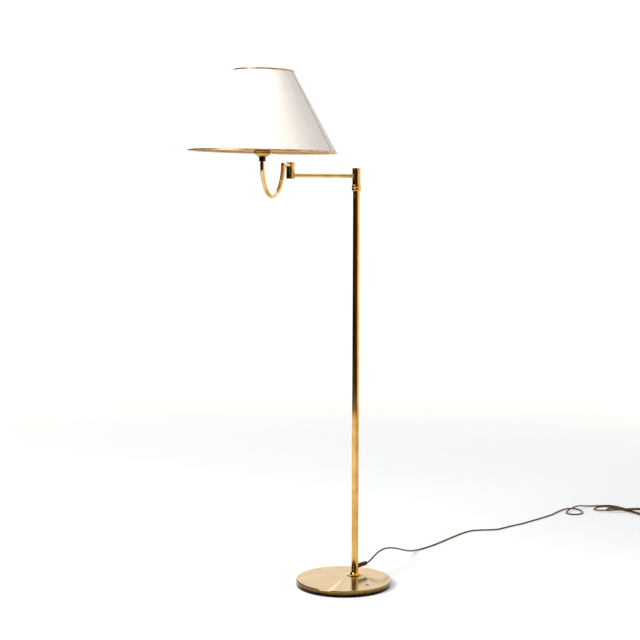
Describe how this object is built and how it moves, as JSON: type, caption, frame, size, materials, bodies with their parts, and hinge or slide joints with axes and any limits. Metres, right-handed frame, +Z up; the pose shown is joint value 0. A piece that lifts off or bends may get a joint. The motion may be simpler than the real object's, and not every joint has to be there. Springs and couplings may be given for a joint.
{
  "type": "floor lamp",
  "caption": "Brass swing-arm floor lamp: round weighted base, offset stem, two folding arms, swan neck and a fabric cone shade with bulb, cord and plug.",
  "frame": {"origin": "centre of the base's underside, on the floor", "axes": "+Z up along the stem; seen from the front, +X to the right and +Y away from the viewer; the free cord leaves towards +X +Y"},
  "size_m": [1.4767, 1.3814, 1.3256],
  "materials": {
    "aged_brass": "polished, aged",
    "dark_brass": "polished, dark patina",
    "base_brass": "spun and polished, worn",
    "iron": "rough",
    "felt": "felt",
    "steel": "zinc plated",
    "nylon": "smooth",
    "shade_fabric": "laminated linen",
    "trim": "folded tape",
    "wire_white": "powder coat",
    "holder_plastic": "moulded",
    "ceramic": "plain",
    "bulb_glass": "frosted",
    "cord": "flexible sheath",
    "plug": "moulded"
  },
  "bodies": {
    "stand": {"base_felt": "felt", "base_weight": "iron", "base_cover": "base_brass", "stem_nipple": "steel", "stem_washer": "steel", "stem_nut": "steel", "stem_foot": "aged_brass", "stem_plug": "steel", "stem_tube": "aged_brass", "sleeve_ring": "dark_brass", "cord_sleeve": "dark_brass", "stem_wire": "cord", "stem_collar": "aged_brass", "head_spindle": "steel", "head_washer": "nylon", "head_spring": "steel", "head_nut": "steel", "cord_lead": "cord", "cord_hank": "cord", "plug_body": "plug", "plug_pins": "steel"},
    "inner_arm": {"head_sleeve": "dark_brass", "head_cap": "dark_brass", "inner_arm_tube": "aged_brass", "inner_arm_wire": "cord", "elbow_lower": "dark_brass", "elbow_base_cap": "dark_brass", "elbow_pin": "steel", "elbow_washer": "nylon", "elbow_spring": "steel", "elbow_nut": "steel"},
    "outer_arm": {"elbow_upper": "dark_brass", "elbow_top_cap": "dark_brass", "outer_stub": "aged_brass", "swan_neck": "aged_brass", "neck_wire": "cord", "neck_coupling": "dark_brass", "cup": "aged_brass", "holder_nipple": "steel", "holder_cap": "holder_plastic", "holder_skirt": "holder_plastic", "holder_block": "ceramic", "screw_shell": "steel", "centre_contact": "steel", "ring_nut": "holder_plastic", "bulb_cap": "steel", "bulb_glass": "bulb_glass", "shade_cone": "shade_fabric", "shade_bottom_trim": "trim", "shade_top_trim": "trim", "shade_top_ring": "wire_white", "shade_carrier": "wire_white"},
    "switch": {"switch_bar": "holder_plastic"}
  },
  "joints": [
    {"name": "head_swivel", "type": "hinge", "parent": "stand", "child": "inner_arm", "pos_m": [0.03079, 0.03498, 1.05375], "axis": [0, 0, 1], "range_deg": [-170, 170]},
    {"name": "elbow_swivel", "type": "hinge", "parent": "inner_arm", "child": "outer_arm", "pos_m": [-0.13977, -0.0271, 1.09075], "axis": [0, 0, 1], "range_deg": [-215, 110]},
    {"name": "switch_slide", "type": "slide", "parent": "outer_arm", "child": "switch", "axis": [0.9586, -0.284, -0.0209], "range_m": [0, 0.005]}
  ]
}
